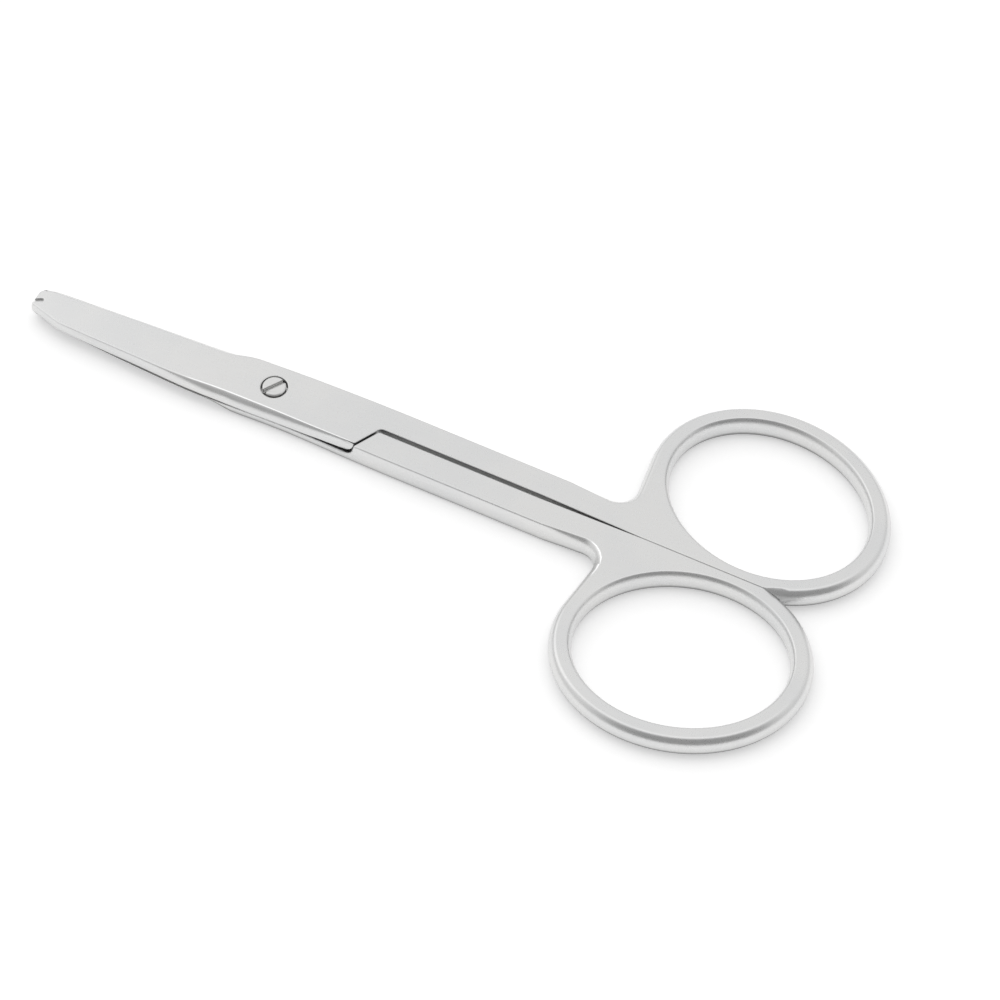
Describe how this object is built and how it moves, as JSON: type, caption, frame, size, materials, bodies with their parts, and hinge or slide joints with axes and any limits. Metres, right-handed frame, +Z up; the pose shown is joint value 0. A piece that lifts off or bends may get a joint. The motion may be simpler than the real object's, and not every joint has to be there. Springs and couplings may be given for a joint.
{
  "type": "ligature scissors",
  "caption": "Small surgical scissors for cutting ligatures and stitches: straight blunt blades with a hooked lower tip, a screwed lap joint and oval finger rings.",
  "frame": {"origin": "on the pivot axis, in the plane of the undersides on which the scissors lie", "axes": "+X from the pivot to the finger rings, +Y towards the ring of the upper half, +Z up along the pivot axis"},
  "size_m": [0.1153, 0.0532, 0.0036],
  "materials": {
    "satin_steel": "satin brushed stainless steel",
    "screw_steel": "turned stainless steel"
  },
  "bodies": {
    "lower": {"lower_half": "satin_steel", "pivot_screw": "screw_steel"},
    "upper": {"upper_half": "satin_steel"}
  },
  "joints": [
    {"name": "blade_pivot", "type": "hinge", "parent": "lower", "child": "upper", "pos_m": [0, 0, 0], "axis": [0, 0, 1], "range_deg": [0, 140]}
  ]
}
